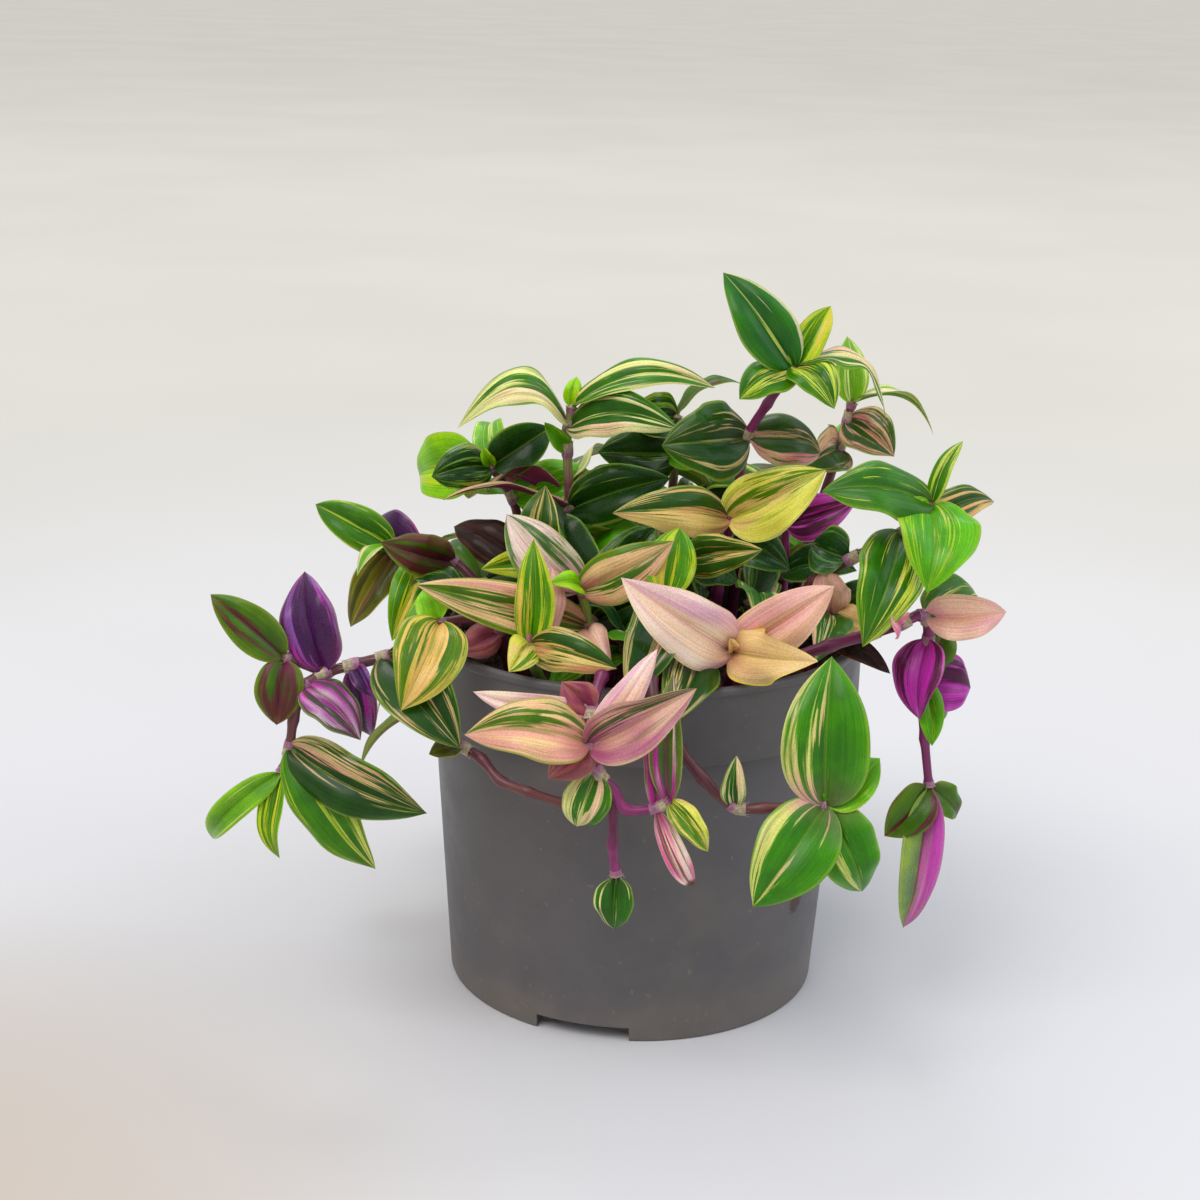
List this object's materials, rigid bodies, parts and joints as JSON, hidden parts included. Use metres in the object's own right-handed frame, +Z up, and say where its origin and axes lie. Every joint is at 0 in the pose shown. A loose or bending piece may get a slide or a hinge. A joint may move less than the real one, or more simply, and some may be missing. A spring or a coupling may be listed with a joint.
{
  "type": "potted tradescantia",
  "caption": "Trailing house plant with striped, pointed leaves on jointed stems, standing and spilling from a plain round nursery pot filled with soil.",
  "frame": {"origin": "centre of the pot's underside, on the surface that the pot stands on", "axes": "+Z up along the pot's axis, +X to the right and -Y towards the viewer in the front view of the plant"},
  "size_m": [0.203, 0.1872, 0.194],
  "materials": {
    "pot_plastic": "matte",
    "potting_soil": "matte",
    "foliage_green": "satin",
    "foliage_yellow": "satin",
    "foliage_pink": "satin",
    "foliage_purple": "satin"
  },
  "bodies": {
    "root": {"pot": "pot_plastic", "soil": "potting_soil", "shoot_crown_right": "foliage_green", "shoot_crown_rear_right": "foliage_green", "shoot_reach_right": "foliage_green", "shoot_trail_right": "foliage_purple", "shoot_trail_front_right": "foliage_green", "shoot_front_pink": "foliage_pink", "shoot_front_fall": "foliage_green", "shoot_crown_left": "foliage_green", "shoot_left_upper": "foliage_green", "shoot_left_mid": "foliage_green", "shoot_trail_left": "foliage_purple", "shoot_rim_left": "foliage_yellow", "shoot_centre_low": "foliage_yellow", "shoot_centre_pink": "foliage_pink", "shoot_inner_left": "foliage_green", "shoot_inner_dark": "foliage_green", "shoot_inner_yellow": "foliage_yellow", "shoot_inner_right": "foliage_green", "shoot_inner_magenta": "foliage_purple", "shoot_front_low": "foliage_pink", "shoot_rim_right": "foliage_green", "shoot_rim_far_left": "foliage_green", "shoot_rear_centre": "foliage_green", "shoot_spill_01": "foliage_green", "shoot_spill_02": "foliage_green", "shoot_spill_03": "foliage_green", "shoot_rear_03": "foliage_green", "shoot_rear_04": "foliage_green", "shoot_rear_07": "foliage_green", "shoot_low_01": "foliage_green", "shoot_low_02": "foliage_green", "shoot_low_03": "foliage_green", "shoot_low_12": "foliage_green", "shoot_low_14": "foliage_green", "shoot_low_15": "foliage_green", "shoot_low_16": "foliage_green", "shoot_low_30": "foliage_green", "shoot_low_31": "foliage_green", "shoot_low_33": "foliage_green"}
  },
  "joints": []
}
